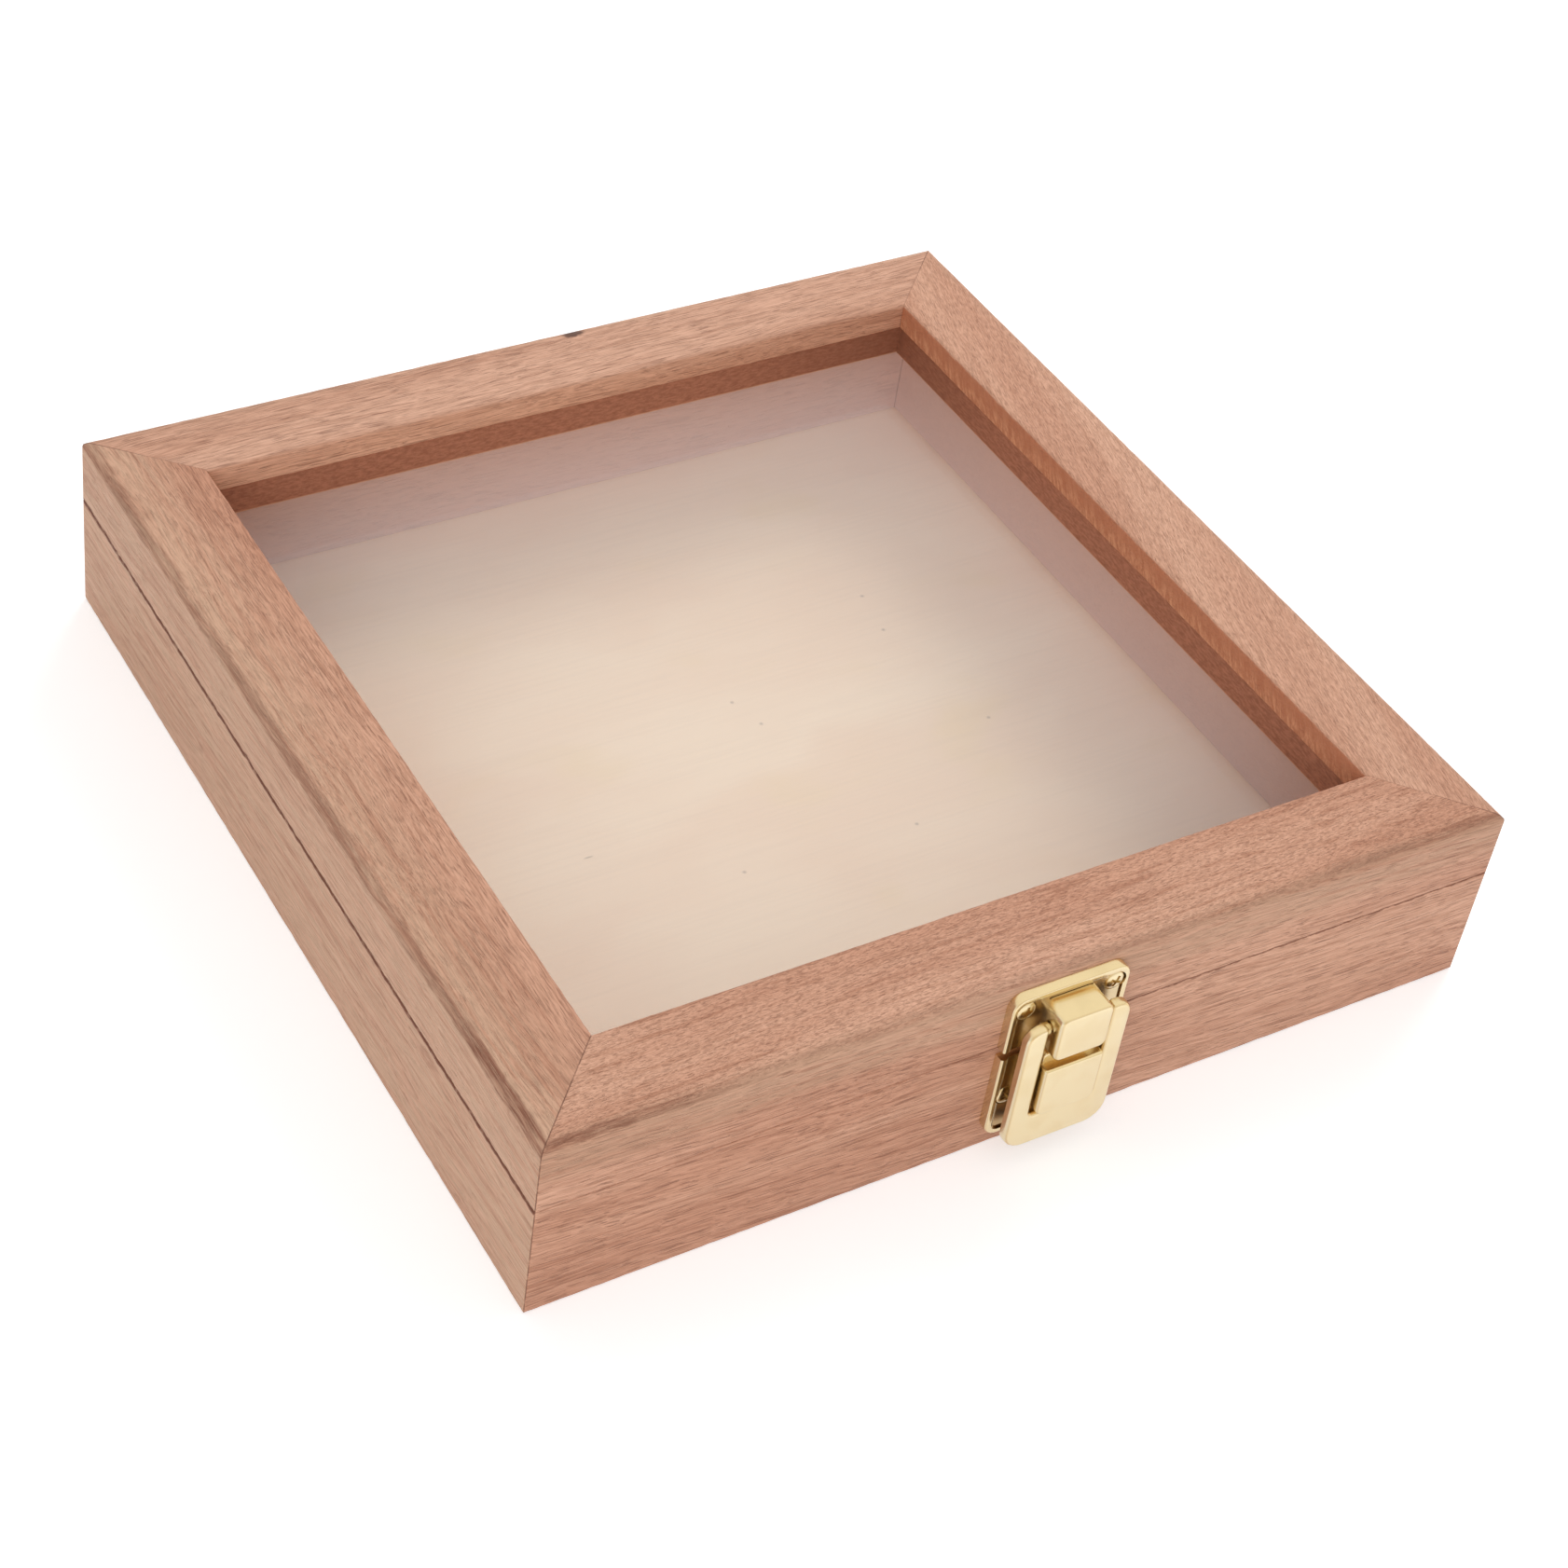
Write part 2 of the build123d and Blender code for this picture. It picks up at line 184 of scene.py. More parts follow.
def new_material(name):
    """An empty material, its tree, its main shader and the place on the object in millimetres."""
    material = bpy.data.materials.new(name)
    material.use_nodes = True
    tree = material.node_tree
    on_object = tree.nodes.new("ShaderNodeTexCoord").outputs["Object"]
    place = vector_maths(tree, "MULTIPLY", on_object, (1000.0, 1000.0, 1000.0))
    return material, tree, tree.nodes["Principled BSDF"], place


def relief(tree, height, depth_mm):
    """A bump of a real depth, for a shader's normal."""
    return added(tree, "ShaderNodeBump", {
        "Strength": 1.0, "Distance": depth_mm * mm, "Height": height}).outputs[0]


def bar_of_wood(tree, place, turn, look):
    """One side's bar: its directions in millimetres, along the side, inwards from the outer face and up, and
    its fibres, streaks and pores. Look names what differs from bar to bar."""
    square = added(tree, "ShaderNodeMapping", {"Rotation": (0, 0, -math.radians(turn)), "Vector": place})
    along, across, height = split(tree, square.outputs[0])
    true_normal = tree.nodes.new("ShaderNodeNewGeometry").outputs["True Normal"]
    facing_up = maths(tree, "ABSOLUTE", split(tree, true_normal)[2])
    on_top = fade(tree, facing_up, 0.5, 0.9)

    # The fibres lean off the bar's direction, and wander by a few millimetres
    lean_in, lean_up = look["lean"]
    straight = join(
        tree, along,
        maths(tree, "SUBTRACT", across, maths(tree, "MULTIPLY", along, lean_in)),
        maths(tree, "SUBTRACT", height, maths(tree, "MULTIPLY", along, lean_up)))
    straight = vector_maths(tree, "ADD", straight, look["cut"])
    bend = wobble(tree, straight, (0.012, 0.05, 0.05), (0.0, 7.0, 7.0))
    ripple = wobble(tree, straight, (0.09, 0.3, 0.3), (0.0, 0.7, 0.7))
    fibre = vector_maths(tree, "ADD", vector_maths(tree, "ADD", straight, bend), ripple)

    # Fibres and pores are long and thin on upright faces, where they are cut lengthwise, and short on the top
    long_fibre = noise(tree, fibre, (0.12, 4.2, 4.2), 3.0, 0.7)
    short_fibre = noise(tree, fibre, (look["fibre_waves"], 3.6, 3.6), 3.0, 0.7)
    long_pore = fade(tree, noise(tree, fibre, (0.12, 4.6, 4.6), 2.0), 0.57, 0.68)
    short_pore = fade(tree, noise(tree, fibre, (look["pore_waves"], 4.2, 4.2), 2.0, 0.6), 0.53, 0.66)
    return SimpleNamespace(
        place=place, along=along, height=height,
        inward=maths(tree, "ADD", across, half_width / mm),
        facing_up=facing_up, on_top=on_top, fibre=fibre, long_fibre=long_fibre,
        streak=noise(tree, fibre, (0.026, 0.95, 0.95), 4.0, 0.7),
        hair=either(tree, on_top, long_fibre, short_fibre),
        pore=either(tree, on_top, long_pore, short_pore))


def grain_colour(tree, bar, look):
    """Broad tones, with streaks, fine fibres and pores over them."""
    streak_shade = (0.62, 0.50, 0.43, 1)
    hair_lit, hair_shade = (1.15, 1.14, 1.12, 1), (0.82, 0.77, 0.73, 1)
    hair_share = 0.85
    pore_brown = screen_colour(118, 70, 50)
    tone = noise(tree, bar.fibre, (0.006, 0.07, 0.07), 2.0)
    colour = tint(tree, fade(tree, tone, 0.35, 0.65), look["light"], look["dark"])
    streaks = maths(tree, "MULTIPLY", fade(tree, bar.streak, 0.47, 0.70), look["streaks"])
    colour = tint(tree, streaks, colour, streak_shade, "MULTIPLY")
    hairs = tint(tree, fade(tree, bar.hair, 0.36, 0.64), hair_lit, hair_shade)
    colour = tint(tree, hair_share, colour, hairs, "MULTIPLY")
    pore_share = either(tree, bar.on_top, look["side_pores"], look["top_pores"])
    return tint(tree, maths(tree, "MULTIPLY", bar.pore, pore_share), colour, pore_brown)


def add_growth_ring(tree, bar, look, colour):
    """A growth ring comes out along the outer top edge as a brown streak, with paler tan wood below it."""
    ring_brown = screen_colour(130, 82, 61)
    ring_softness = 1.0
    wave = wobble(tree, join(tree, bar.along, 0.0, 0.0), (0.035, 1, 1), (2.2, 0, 0))
    small_wave = wobble(tree, join(tree, bar.along, 5.0, 0.0), (0.3, 1, 1), (1.0, 0, 0))
    wave = vector_maths(tree, "ADD", wave, small_wave)
    over_edge = maths(tree, "SUBTRACT", maths(tree, "ADD", bar.inward, bar.height), rail_outer_height)
    over_edge = maths(tree, "ADD", over_edge, split(tree, wave)[0])
    ring_low, ring_high = look["ring"]
    pale = between(tree, over_edge, ring_low - look["pale_reach"], ring_low, 2.0 + look["pale_reach"] / 3)
    pale = product(tree, pale, fade(tree, bar.streak, 0.40, 0.62, 1.0, 0.35), look["pale_share"])
    pale_shade = (*(0.80 * part for part in look["pale"][:3]), 1)
    colour = tint(tree, pale, colour, tint(tree, fade(tree, bar.hair, 0.36, 0.68), look["pale"], pale_shade))
    near_end, middle, far_end = look["ring_ends"]
    ends = maths(tree, "MAXIMUM", fade(tree, bar.along, -85.0, -45.0, near_end, 0.0), fade(
        tree, bar.along, 20.0, 85.0, 0.0, far_end))
    broken = noise(tree, bar.fibre, (0.05, 0.6, 0.6), 3.0, 0.7)
    ring = product(
        tree, between(tree, over_edge, ring_low, ring_high, ring_softness),
        maths(tree, "MAXIMUM", ends, middle), fade(tree, broken, 0.36, 0.54, 0.3, 1.0),
        fade(tree, bar.long_fibre, 0.30, 0.62, 0.4, 1.0))
    return tint(tree, ring, colour, ring_brown)


def add_planed_lip(tree, bar, look, colour):
    """The lip over the glass was planed across the grain: red-brown above, with torn tan fibres below."""
    planed, torn_fibres = screen_colour(182, 114, 82), screen_colour(212, 152, 116)
    lip_slant = 0.5
    lip = product(tree, fade(tree, bar.inward, 18.0, 18.7), fade(
        tree, bar.facing_up, 0.35, 0.7, 1.0, 0.0), look["lip_share"])
    past_slant = maths(tree, "SUBTRACT", bar.along, maths(tree, "MULTIPLY", bar.height, lip_slant))
    torn = noise(tree, join(tree, past_slant, 0.0, bar.height), (0.7, 1.0, 0.22), 4.0, 0.8)
    torn = product(tree, fade(tree, torn, 0.42, 0.62), fade(tree, bar.height, 36.6, 39.4, 1.0, 0.25))
    return tint(tree, lip, colour, tint(tree, torn, planed, torn_fibres))


def add_painted_bounce_inside(tree, bar, colour):
    """The inside faces of the base are painted paler and pinker: painted light for what the pale floor
    bounces onto them.
    """
    bounce_pink = screen_colour(226, 193, 180)
    inside = product(tree, fade(tree, bar.inward, 7.0, 7.6), fade(tree, bar.height, 25.4, 25.8, 0.75, 0.0))
    return tint(tree, inside, colour, bounce_pink)


def add_glue_and_seam_shade(tree, bar, look, colour):
    """Glue lines at the mitres, darkest at the front left and near the outer edge, and painted shade in the
    seam.
    """
    glue_brown, seam_shade_brown = screen_colour(96, 58, 42), screen_colour(118, 69, 48)
    seam_softness = 0.25
    world_x, world_y, _ = split(tree, bar.place)
    from_mitre = maths(tree, "ABSOLUTE", maths(
        tree, "SUBTRACT", maths(tree, "ABSOLUTE", world_x), maths(tree, "ABSOLUTE", world_y)))
    front_left = fade(tree, maths(tree, "ADD", world_x, world_y), -150.0, -90.0, 0.75, 0.0)
    patchy = noise(tree, bar.place, (0.5, 0.5, 0.5), 2.0)
    glue = product(
        tree, maths(tree, "MAXIMUM", front_left, fade(tree, bar.inward, 1.0, 13.0, 0.7, 0.3)),
        fade(tree, patchy, 0.3, 0.55, 0.45, 1.0), fade(tree, from_mitre, 0.05, 0.26, 1.0, 0.0))
    colour = tint(tree, glue, colour, glue_brown)

    # Painted shade: a ragged dark brown line along the seam between lid and base, where its groove lies in
    # shade.
    seam, seam_half = seam_height / mm, look["seam_half"]
    ragged = maths(tree, "ADD", bar.height, split(
        tree, wobble(tree, bar.place, (0.5, 0.5, 0.0), (0, 0, 0.9)))[2])
    near_share, far_share = look["seam_shares"]
    seam_shade = product(
        tree, between(tree, ragged, seam - seam_half, seam + seam_half, seam_softness),
        fade(tree, bar.inward, 0.5, 1.2, 1.0, 0.0), fade(tree, bar.along, -30.0, 0.0, near_share, far_share),
        fade(tree, patchy, 0.3, 0.5, 0.6, 1.0))
    return tint(tree, seam_shade, colour, seam_shade_brown)


def add_smudge(tree, bar, look, colour):
    """A brown smudge beside the seam of the left side."""
    from_smudge = vector_maths(tree, "SUBTRACT", bar.place, look["smudge"])
    far = vector_maths(tree, "LENGTH", vector_maths(tree, "MULTIPLY", from_smudge, (0.0, 0.16, 0.5)))
    smudge = product(tree, fade(tree, far, 0.2, 1.0, 0.6, 0.0), fade(tree, bar.hair, 0.35, 0.6, 0.3, 1.0),
                     fade(tree, bar.inward, 0.5, 1.5, 1.0, 0.0))
    return tint(tree, smudge, colour, screen_colour(142, 88, 64))


def add_nick(tree, bar, look, colour):
    """A small dark nick at the top of the back rail."""
    torn_edge = wobble(tree, bar.place, (0.9, 0.9, 0.9), (1.4, 1.0, 1.0))
    from_nick = vector_maths(tree, "ADD", vector_maths(tree, "SUBTRACT", bar.place, look["nick"]), torn_edge)
    far = vector_maths(tree, "LENGTH", vector_maths(tree, "MULTIPLY", from_nick, (0.5, 1.0, 1.0)))
    return tint(tree, fade(tree, far, 0.8, 1.6, 0.85, 0.0), colour, screen_colour(74, 46, 38))


def hardwood(side, turn, look):
    """Hardwood of one side of the box."""
    material, tree, shader, place = new_material("hardwood_" + side)
    bar = bar_of_wood(tree, place, turn, look)
    colour = grain_colour(tree, bar, look)
    colour = add_growth_ring(tree, bar, look, colour)
    colour = add_planed_lip(tree, bar, look, colour)
    colour = add_painted_bounce_inside(tree, bar, colour)
    colour = add_glue_and_seam_shade(tree, bar, look, colour)
    if "smudge" in look:
        colour = add_smudge(tree, bar, look, colour)
    if "nick" in look:
        colour = add_nick(tree, bar, look, colour)
    grain_depth = 0.07
    sunk = maths(tree, "ADD", maths(tree, "MULTIPLY", bar.hair, -0.5), maths(
        tree, "MULTIPLY", bar.pore, -0.7))
    give(tree, shader, {
        "Base Color": colour, "Roughness": fade(tree, bar.hair, 0.3, 0.7, 0.52, 0.68),
        "Specular IOR Level": 0.35, "Normal": relief(tree, sunk, grain_depth)})
    return material


# Cut is where in the log a bar comes from, and lean how far its fibres drift inwards and up per millimetre.
# Waves are how many fit in a millimetre on the top. A ring and the pale wood are measured from the top edge.
wood_looks = {
    "front": {
        "cut": (0.0, 0.0, 0.0), "lean": (0.02, -0.05),
        "light": screen_colour(216, 168, 142), "dark": screen_colour(200, 148, 122),
        "streaks": 0.7, "fibre_waves": 0.9, "pore_waves": 0.7, "side_pores": 0.55, "top_pores": 0.36,
        "ring": (0.3, 1.6), "ring_ends": (0.85, 0.3, 0.5),
        "pale": screen_colour(194, 154, 126), "pale_reach": 6.0, "pale_share": 0.6,
        "lip_share": 0.5, "seam_shares": (0.15, 0.7), "seam_half": 0.1,
    },
    "right": {
        "cut": (310.0, 40.0, 70.0), "lean": (-0.25, 0.0),
        "light": screen_colour(213, 166, 140), "dark": screen_colour(202, 152, 126),
        "streaks": 0.3, "fibre_waves": 0.45, "pore_waves": 0.45, "side_pores": 0.40, "top_pores": 0.28,
        "ring": (-0.2, 0.3), "ring_ends": (0.2, 0.1, 0.2),
        "pale": screen_colour(206, 168, 140), "pale_reach": 8.0, "pale_share": 0.3,
        "lip_share": 0.9, "seam_shares": (0.7, 0.7), "seam_half": 0.1,
    },
    "back": {
        "cut": (620.0, 90.0, 20.0), "lean": (0.035, 0.0),
        "light": screen_colour(216, 170, 145), "dark": screen_colour(198, 148, 122),
        "streaks": 0.5, "fibre_waves": 0.15, "pore_waves": 0.15, "side_pores": 0.45, "top_pores": 0.5,
        "ring": (-0.2, 0.6), "ring_ends": (0.2, 0.1, 0.2),
        "pale": screen_colour(206, 168, 140), "pale_reach": 6.0, "pale_share": 0.4,
        "lip_share": 0.0, "seam_shares": (0.7, 0.7), "seam_half": 0.1, "nick": (8.8, 98.3, 40.4),
    },
    "left": {
        "cut": (930.0, 10.0, 50.0), "lean": (0.01, 0.03),
        "light": screen_colour(209, 160, 134), "dark": screen_colour(194, 141, 115),
        "streaks": 0.5, "fibre_waves": 0.22, "pore_waves": 0.2, "side_pores": 0.35, "top_pores": 0.45,
        "ring": (-0.6, 1.8), "ring_ends": (0.5, 0.65, 1.0),
        "pale": screen_colour(212, 174, 145), "pale_reach": 60.0, "pale_share": 0.8,
        "lip_share": 0.5, "seam_shares": (1.0, 1.0), "seam_half": 0.45,
        "smudge": (-100.0, -61.0, 22.9),
    },
}
wood_of_side = {side: hardwood(side, turn, wood_looks[side]) for side, turn in sides.items()}


def rounded(corners, steps=5):
    """The points of a closed outline. Its corners, each x, y and a radius in millimetres, become arcs."""
    points = []
    for place, (x, y, radius) in enumerate(corners):
        here = Vector((x, y))
        before = (Vector(corners[place - 1][:2]) - here).normalized()
        after = (Vector(corners[(place + 1) % len(corners)][:2]) - here).normalized()
        if radius <= 0:
            points.append(here)
            continue
        half_angle = before.angle(after) / 2
        centre = here + (before + after).normalized() * (radius / math.sin(half_angle))
        start = here + before * (radius / math.tan(half_angle)) - centre
        end = here + after * (radius / math.tan(half_angle)) - centre
        for step in range(steps + 1):
            share = step / steps
            points.append(centre + (start * (1 - share) + end * share).normalized() * radius)
    return points


def section_curve(name, corners):
    """The cross-section of a length of wood, as a closed curve."""
    curve = bpy.data.curves.new(name, "CURVE")
    curve.dimensions = "3D"
    points = rounded(corners)
    spline = curve.splines.new("POLY")
    spline.points.add(len(points) - 1)
    for point, place in zip(spline.points, points):
        point.co = (place.x * mm, place.y * mm, 0, 1)
    spline.use_cyclic_u = True
    return in_scene(name, curve)


def tree_with_inputs(name, kinds):
    """An empty tree of geometry nodes, the identifiers of its named inputs, and the inputs themselves."""
    tree = bpy.data.node_groups.new(name, "GeometryNodeTree")
    named = {}
    for label, kind in kinds.items():
        named[label] = tree.interface.new_socket(name=label, in_out="INPUT", socket_type=kind).identifier
    tree.interface.new_socket(name="Geometry", in_out="OUTPUT", socket_type="NodeSocketGeometry")
    return tree, named, tree.nodes.new("NodeGroupInput").outputs


def end_with_material(tree, geometry, material):
    """The last steps of every tree: real mesh, its material, and out."""
    whole = added(tree, "GeometryNodeRealizeInstances", {"Geometry": geometry})
    finished = added(tree, "GeometryNodeSetMaterial", {"Geometry": whole.outputs[0], "Material": material})
    added(tree, "NodeGroupOutput", {0: finished.outputs[0]})


def mitred_length_tree():
    """The rule for one side of a square frame: a section swept along the side, with a mitre at both ends."""
    tree, named, given = tree_with_inputs("mitred_length", {
        "Section": "NodeSocketObject",
        "Half Width": "NodeSocketFloat",
        "Corner Radius": "NodeSocketFloat",
        "Turn": "NodeSocketFloat",
        "Stations": "NodeSocketInt",
        "Wear": "NodeSocketFloat",
        "Wood": "NodeSocketMaterial",
    })
    section = added(tree, "GeometryNodeObjectInfo", {"Object": given["Section"]})
    keep_section = tree.nodes.new("GeometryNodeCaptureAttribute")
    keep_section.capture_items.new("VECTOR", "Section Place")
    give(tree, keep_section, {
        "Geometry": section.outputs["Geometry"],
        1: tree.nodes.new("GeometryNodeInputPosition").outputs[0]})

    line = added(tree, "GeometryNodeCurvePrimitiveLine", {"Start": (-1, 0, 0), "End": (1, 0, 0)})
    stations = added(tree, "GeometryNodeResampleCurve", {
        "Curve": line.outputs[0], "Count": given["Stations"]})
    keep_share = tree.nodes.new("GeometryNodeCaptureAttribute")
    keep_share.capture_items.new("FLOAT", "Share")
    give(tree, keep_share, {
        "Geometry": stations.outputs[0],
        1: tree.nodes.new("GeometryNodeSplineParameter").outputs["Factor"]})
    sweep = added(tree, "GeometryNodeCurveToMesh", {
        "Curve": keep_share.outputs["Geometry"], "Profile Curve": keep_section.outputs["Geometry"],
        "Fill Caps": True})

    # Wear: the faces are taken in by less than a tenth of a millimetre here and there, so edges are uneven
    section_x, height, _ = split(tree, keep_section.outputs[1])
    share = maths(tree, "SUBTRACT", maths(tree, "MULTIPLY", keep_share.outputs[1], 2.0), 1.0)
    share = maths(tree, "SINE", maths(tree, "MULTIPLY", share, math.pi / 2))
    spot = vector_maths(tree, "MULTIPLY", join(tree, share, section_x, height), (100.0, 1000.0, 1000.0))
    worn = fade(tree, noise(tree, spot, (0.35, 0.5, 0.5), 3.0), 0.4, 0.7)
    worn = maths(tree, "MULTIPLY", worn, given["Wear"])
    inward = maths(tree, "ADD", section_x, worn)
    x = maths(tree, "MULTIPLY", share, maths(tree, "SUBTRACT", given["Half Width"], inward))

    # The upright corner's round: a point past its centre both ways is drawn in to the arc
    radius = given["Corner Radius"]
    past_x = maths(tree, "MAXIMUM", maths(tree, "SUBTRACT", maths(tree, "ABSOLUTE", x),
                                          maths(tree, "SUBTRACT", given["Half Width"], radius)), 0.0)
    past_y = maths(tree, "MAXIMUM", maths(tree, "SUBTRACT", radius, inward), 0.0)
    length = maths(tree, "SQRT", maths(tree, "ADD", maths(tree, "MULTIPLY", past_x, past_x),
                                       maths(tree, "MULTIPLY", past_y, past_y)))
    lost = maths(tree, "SUBTRACT", 1.0, maths(tree, "DIVIDE", radius, maths(tree, "MAXIMUM", length, radius)))
    x = maths(tree, "SUBTRACT", x, product(tree, maths(tree, "SIGN", x), past_x, lost))
    inward = maths(tree, "ADD", inward, maths(tree, "MULTIPLY", past_y, lost))
    y = maths(tree, "SUBTRACT", inward, given["Half Width"])

    shape = added(tree, "GeometryNodeSetPosition", {
        "Geometry": sweep.outputs[0], "Position": join(tree, x, y, height)})
    turned = added(tree, "GeometryNodeTransform", {
        "Geometry": shape.outputs[0], "Rotation": join(tree, 0.0, 0.0, given["Turn"])})
    end_with_material(tree, turned.outputs[0], given["Wood"])
    return tree, named


def finished_mesh(shaped):
    """The plain mesh of an object with its modifiers worked in."""
    bpy.context.view_layer.update()
    evaluated = shaped.evaluated_get(bpy.context.evaluated_depsgraph_get())
    return bpy.data.meshes.new_from_object(evaluated)


def grown(name, tree, named, values):
    """A plain mesh made by a tree of geometry nodes with the given inputs."""
    source = in_scene(name + "_source", bpy.data.meshes.new(name + "_source"))
    modifier = source.modifiers.new("shape", "NODES")
    modifier.node_group = tree
    for label, value in values.items():
        modifier[named[label]] = value
    mesh = finished_mesh(source)
    mesh.name = name
    bpy.data.objects.remove(source)
    return in_scene(name, mesh)


def from_skins(name, skins):
    """An object made of several closed skins."""
    whole = bmesh.new()
    for skin in skins:
        part = bpy.data.meshes.new("part")
        skin.to_mesh(part)
        skin.free()
        whole.from_mesh(part)
        bpy.data.meshes.remove(part)
    mesh = bpy.data.meshes.new(name)
    bmesh.ops.recalc_face_normals(whole, faces=whole.faces[:])
    whole.to_mesh(mesh)
    whole.free()
    return in_scene(name, mesh)


def cut_out(piece, cutter):
    """Takes the shape of the cutter out of a piece."""
    modifier = piece.modifiers.new("cut", "BOOLEAN")
    modifier.operation = "DIFFERENCE"
    modifier.solver = "EXACT"
    modifier.object = cutter
    mesh = finished_mesh(piece)
    piece.modifiers.clear()
    piece.data = mesh
    mesh.name = piece.name


def shade(piece, crease_degrees):
    """Smooth shading, but for edges that turn by more than an angle."""
    skin = bmesh.new()
    skin.from_mesh(piece.data)
    for face in skin.faces:
        face.smooth = True
    for edge in skin.edges:
        edge.smooth = edge.is_manifold and edge.calc_face_angle() < math.radians(crease_degrees)
    skin.to_mesh(piece.data)
    skin.free()


def box_skin(low, high):
    """A plain block between two corners."""
    skin = bmesh.new()
    middle = (Vector(low) + Vector(high)) / 2
    size = Vector(high) - Vector(low)
    bmesh.ops.create_cube(skin, size=1.0, matrix=Matrix.Translation(middle) @ Matrix.Diagonal((*size, 1)))
    return skin


mitred_length, mitred_inputs = mitred_length_tree()
hinge_centres = (-62.0 * mm, 62.0 * mm)
hinge_bed_half = 10.2 * mm
hinge_bed_inset = 7.0 * mm
past_face = 1.0 * mm
leaf_thickness = 0.8 * mm


def hinge_beds():
    """The room in the back wall and rail for the leaves of both hinges."""
    return from_skins("hinge_beds", [box_skin(
        (centre - hinge_bed_half, half_width - hinge_bed_inset, seam_height - leaf_thickness),
        (centre + hinge_bed_half, half_width + past_face, seam_height + leaf_thickness),
    ) for centre in hinge_centres])


def wooden_frame(name, section, body, replaced, slot, woods, wear):
    """Four mitred lengths round the box, made from one section."""
    for side, turn in sides.items():
        piece = grown(name + "_" + side, mitred_length, mitred_inputs, {
            "Section": section,
            "Half Width": half_width,
            "Corner Radius": upright_corner_radius,
            "Turn": math.radians(turn),
            "Stations": stations_along,
            "Wear": wear * mm,
            "Wood": woods[side],
        })
        if side == "back" and slot == "walnut":
            beds = hinge_beds()
            cut_out(piece, beds)
            bpy.data.objects.remove(beds)
        shade(piece, crease_degrees=35)
        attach(piece, body)
        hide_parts(replaced + side)
    bpy.data.objects.remove(section)


foot_width = (wall_thickness - floor_reach) / mm
wooden_frame("wall", section_curve("wall_section", [
    (0, 0, 0.6),
    (foot_width, 0, 0.1),
    (foot_width, floor_thickness / mm, 0.0),
    (wall_thickness / mm, floor_thickness / mm, 0.2),
    (wall_thickness / mm, seam_height / mm, 0.25),
    (0, seam_height / mm, 0.35),
]), "base", "base_wall_", "walnut", wood_of_side, wood_wear)

# Floor panel. A sheet of pale birch plywood, sanded and left bare, let into the walls from below.
# Its face has faint warm patches, a long thin grain and a few specks.
def coat(piece, material):
    """Gives a piece one material."""
    piece.data.materials.clear()
    piece.data.materials.append(material)


plywood, tree, shader, place = new_material("pale_plywood")
cloud = noise(tree, vector_maths(tree, "ADD", place, wobble(tree, place, (0.02, 0.02, 0.02), (40, 40, 0))),
              (0.012, 0.028, 0.02), 3.0)
birch_light, birch_dark = screen_colour(255, 227, 194), screen_colour(251, 218, 184)
birch_yellow, birch_thread = screen_colour(249, 218, 170), screen_colour(214, 186, 160)
colour = tint(tree, fade(tree, cloud, 0.35, 0.65), birch_light, birch_dark)
yellow = noise(tree, place, (0.03, 0.045, 0.02), 2.0)
colour = tint(tree, fade(tree, yellow, 0.55, 0.75, 0.0, 0.5), colour, birch_yellow)
thread = noise(tree, place, (0.03, 1.5, 1.0), 3.0, 0.6)
colour = tint(tree, fade(tree, thread, 0.4, 0.75, 0.0, 0.11), colour, birch_thread)
for speck_x, speck_y in (
    (6.5, 17.3), (49.3, 36.4), (47.7, 25.2), (53.3, -6.8), (22.6, -27.9), (8.8, 9.4), (-15.6, -26.3),
):
    far = vector_maths(tree, "DISTANCE", place, (speck_x, speck_y, floor_thickness / mm))
    colour = tint(tree, fade(tree, far, 0.15, 0.6, 0.4, 0.0), colour, screen_colour(130, 100, 84))
dash_middle = (-41.3, -11.1, floor_thickness / mm)
dash = vector_maths(tree, "LENGTH", vector_maths(
    tree, "MULTIPLY", vector_maths(tree, "SUBTRACT", place, dash_middle), (0.5, 2.4, 1.0)))
colour = tint(tree, fade(tree, dash, 0.2, 0.7, 0.5, 0.0), colour, screen_colour(150, 122, 90))
give(tree, shader, {"Base Color": colour, "Roughness": 0.6, "Specular IOR Level": 0.3})
coat(nodes["base_floor_panel"], plywood)

# Lid frame. Four mitred rails of the same hardwood, wider than the walls, with a lip over the glass.
# Their tops fall by a millimetre to the outside, and a rabbet inside takes the strips and the pane.
rail_width = (box_high.y - box_low.y) / mm
rabbet_width = 5.0
lip_height = 5.9
stem_width = rail_width - rabbet_width
lost_in_round = 0.05
inner_top = lid_top / mm + lost_in_round
wooden_frame("rail", section_curve("rail_section", [
    (0, seam_height / mm, 0.35),
    (stem_width, seam_height / mm, 0.2),
    (stem_width, inner_top - lip_height, 0.0),
    (rail_width, inner_top - lip_height, 0.35),
    (rail_width, inner_top, 0.7),
    (0, rail_outer_height, 1.7),
]), "lid", "lid_rail_", "walnut", wood_of_side, wood_wear)

# Strips round the glass. Thin mitred battens in the rabbet, stained a darker red-brown than the lid.
# They hold the pane down. Painted shade darkens the stain towards the back right corner, and the lower edge
# was left bare.
strip_low, strip_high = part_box("glass_strip_front")
strip_stained, tree, shader, place = new_material("dark_stain")
grain = noise(tree, place, (0.5, 0.5, 1.6), 4.0, 0.7)
stain_light, stain_dark, shaded_stain = (
    screen_colour(176, 117, 92), screen_colour(148, 95, 72), screen_colour(118, 72, 52))
bare_wood = screen_colour(206, 156, 126)
colour = tint(tree, fade(tree, grain, 0.35, 0.65), stain_light, stain_dark)
strip_x, strip_y, strip_z = split(tree, place)
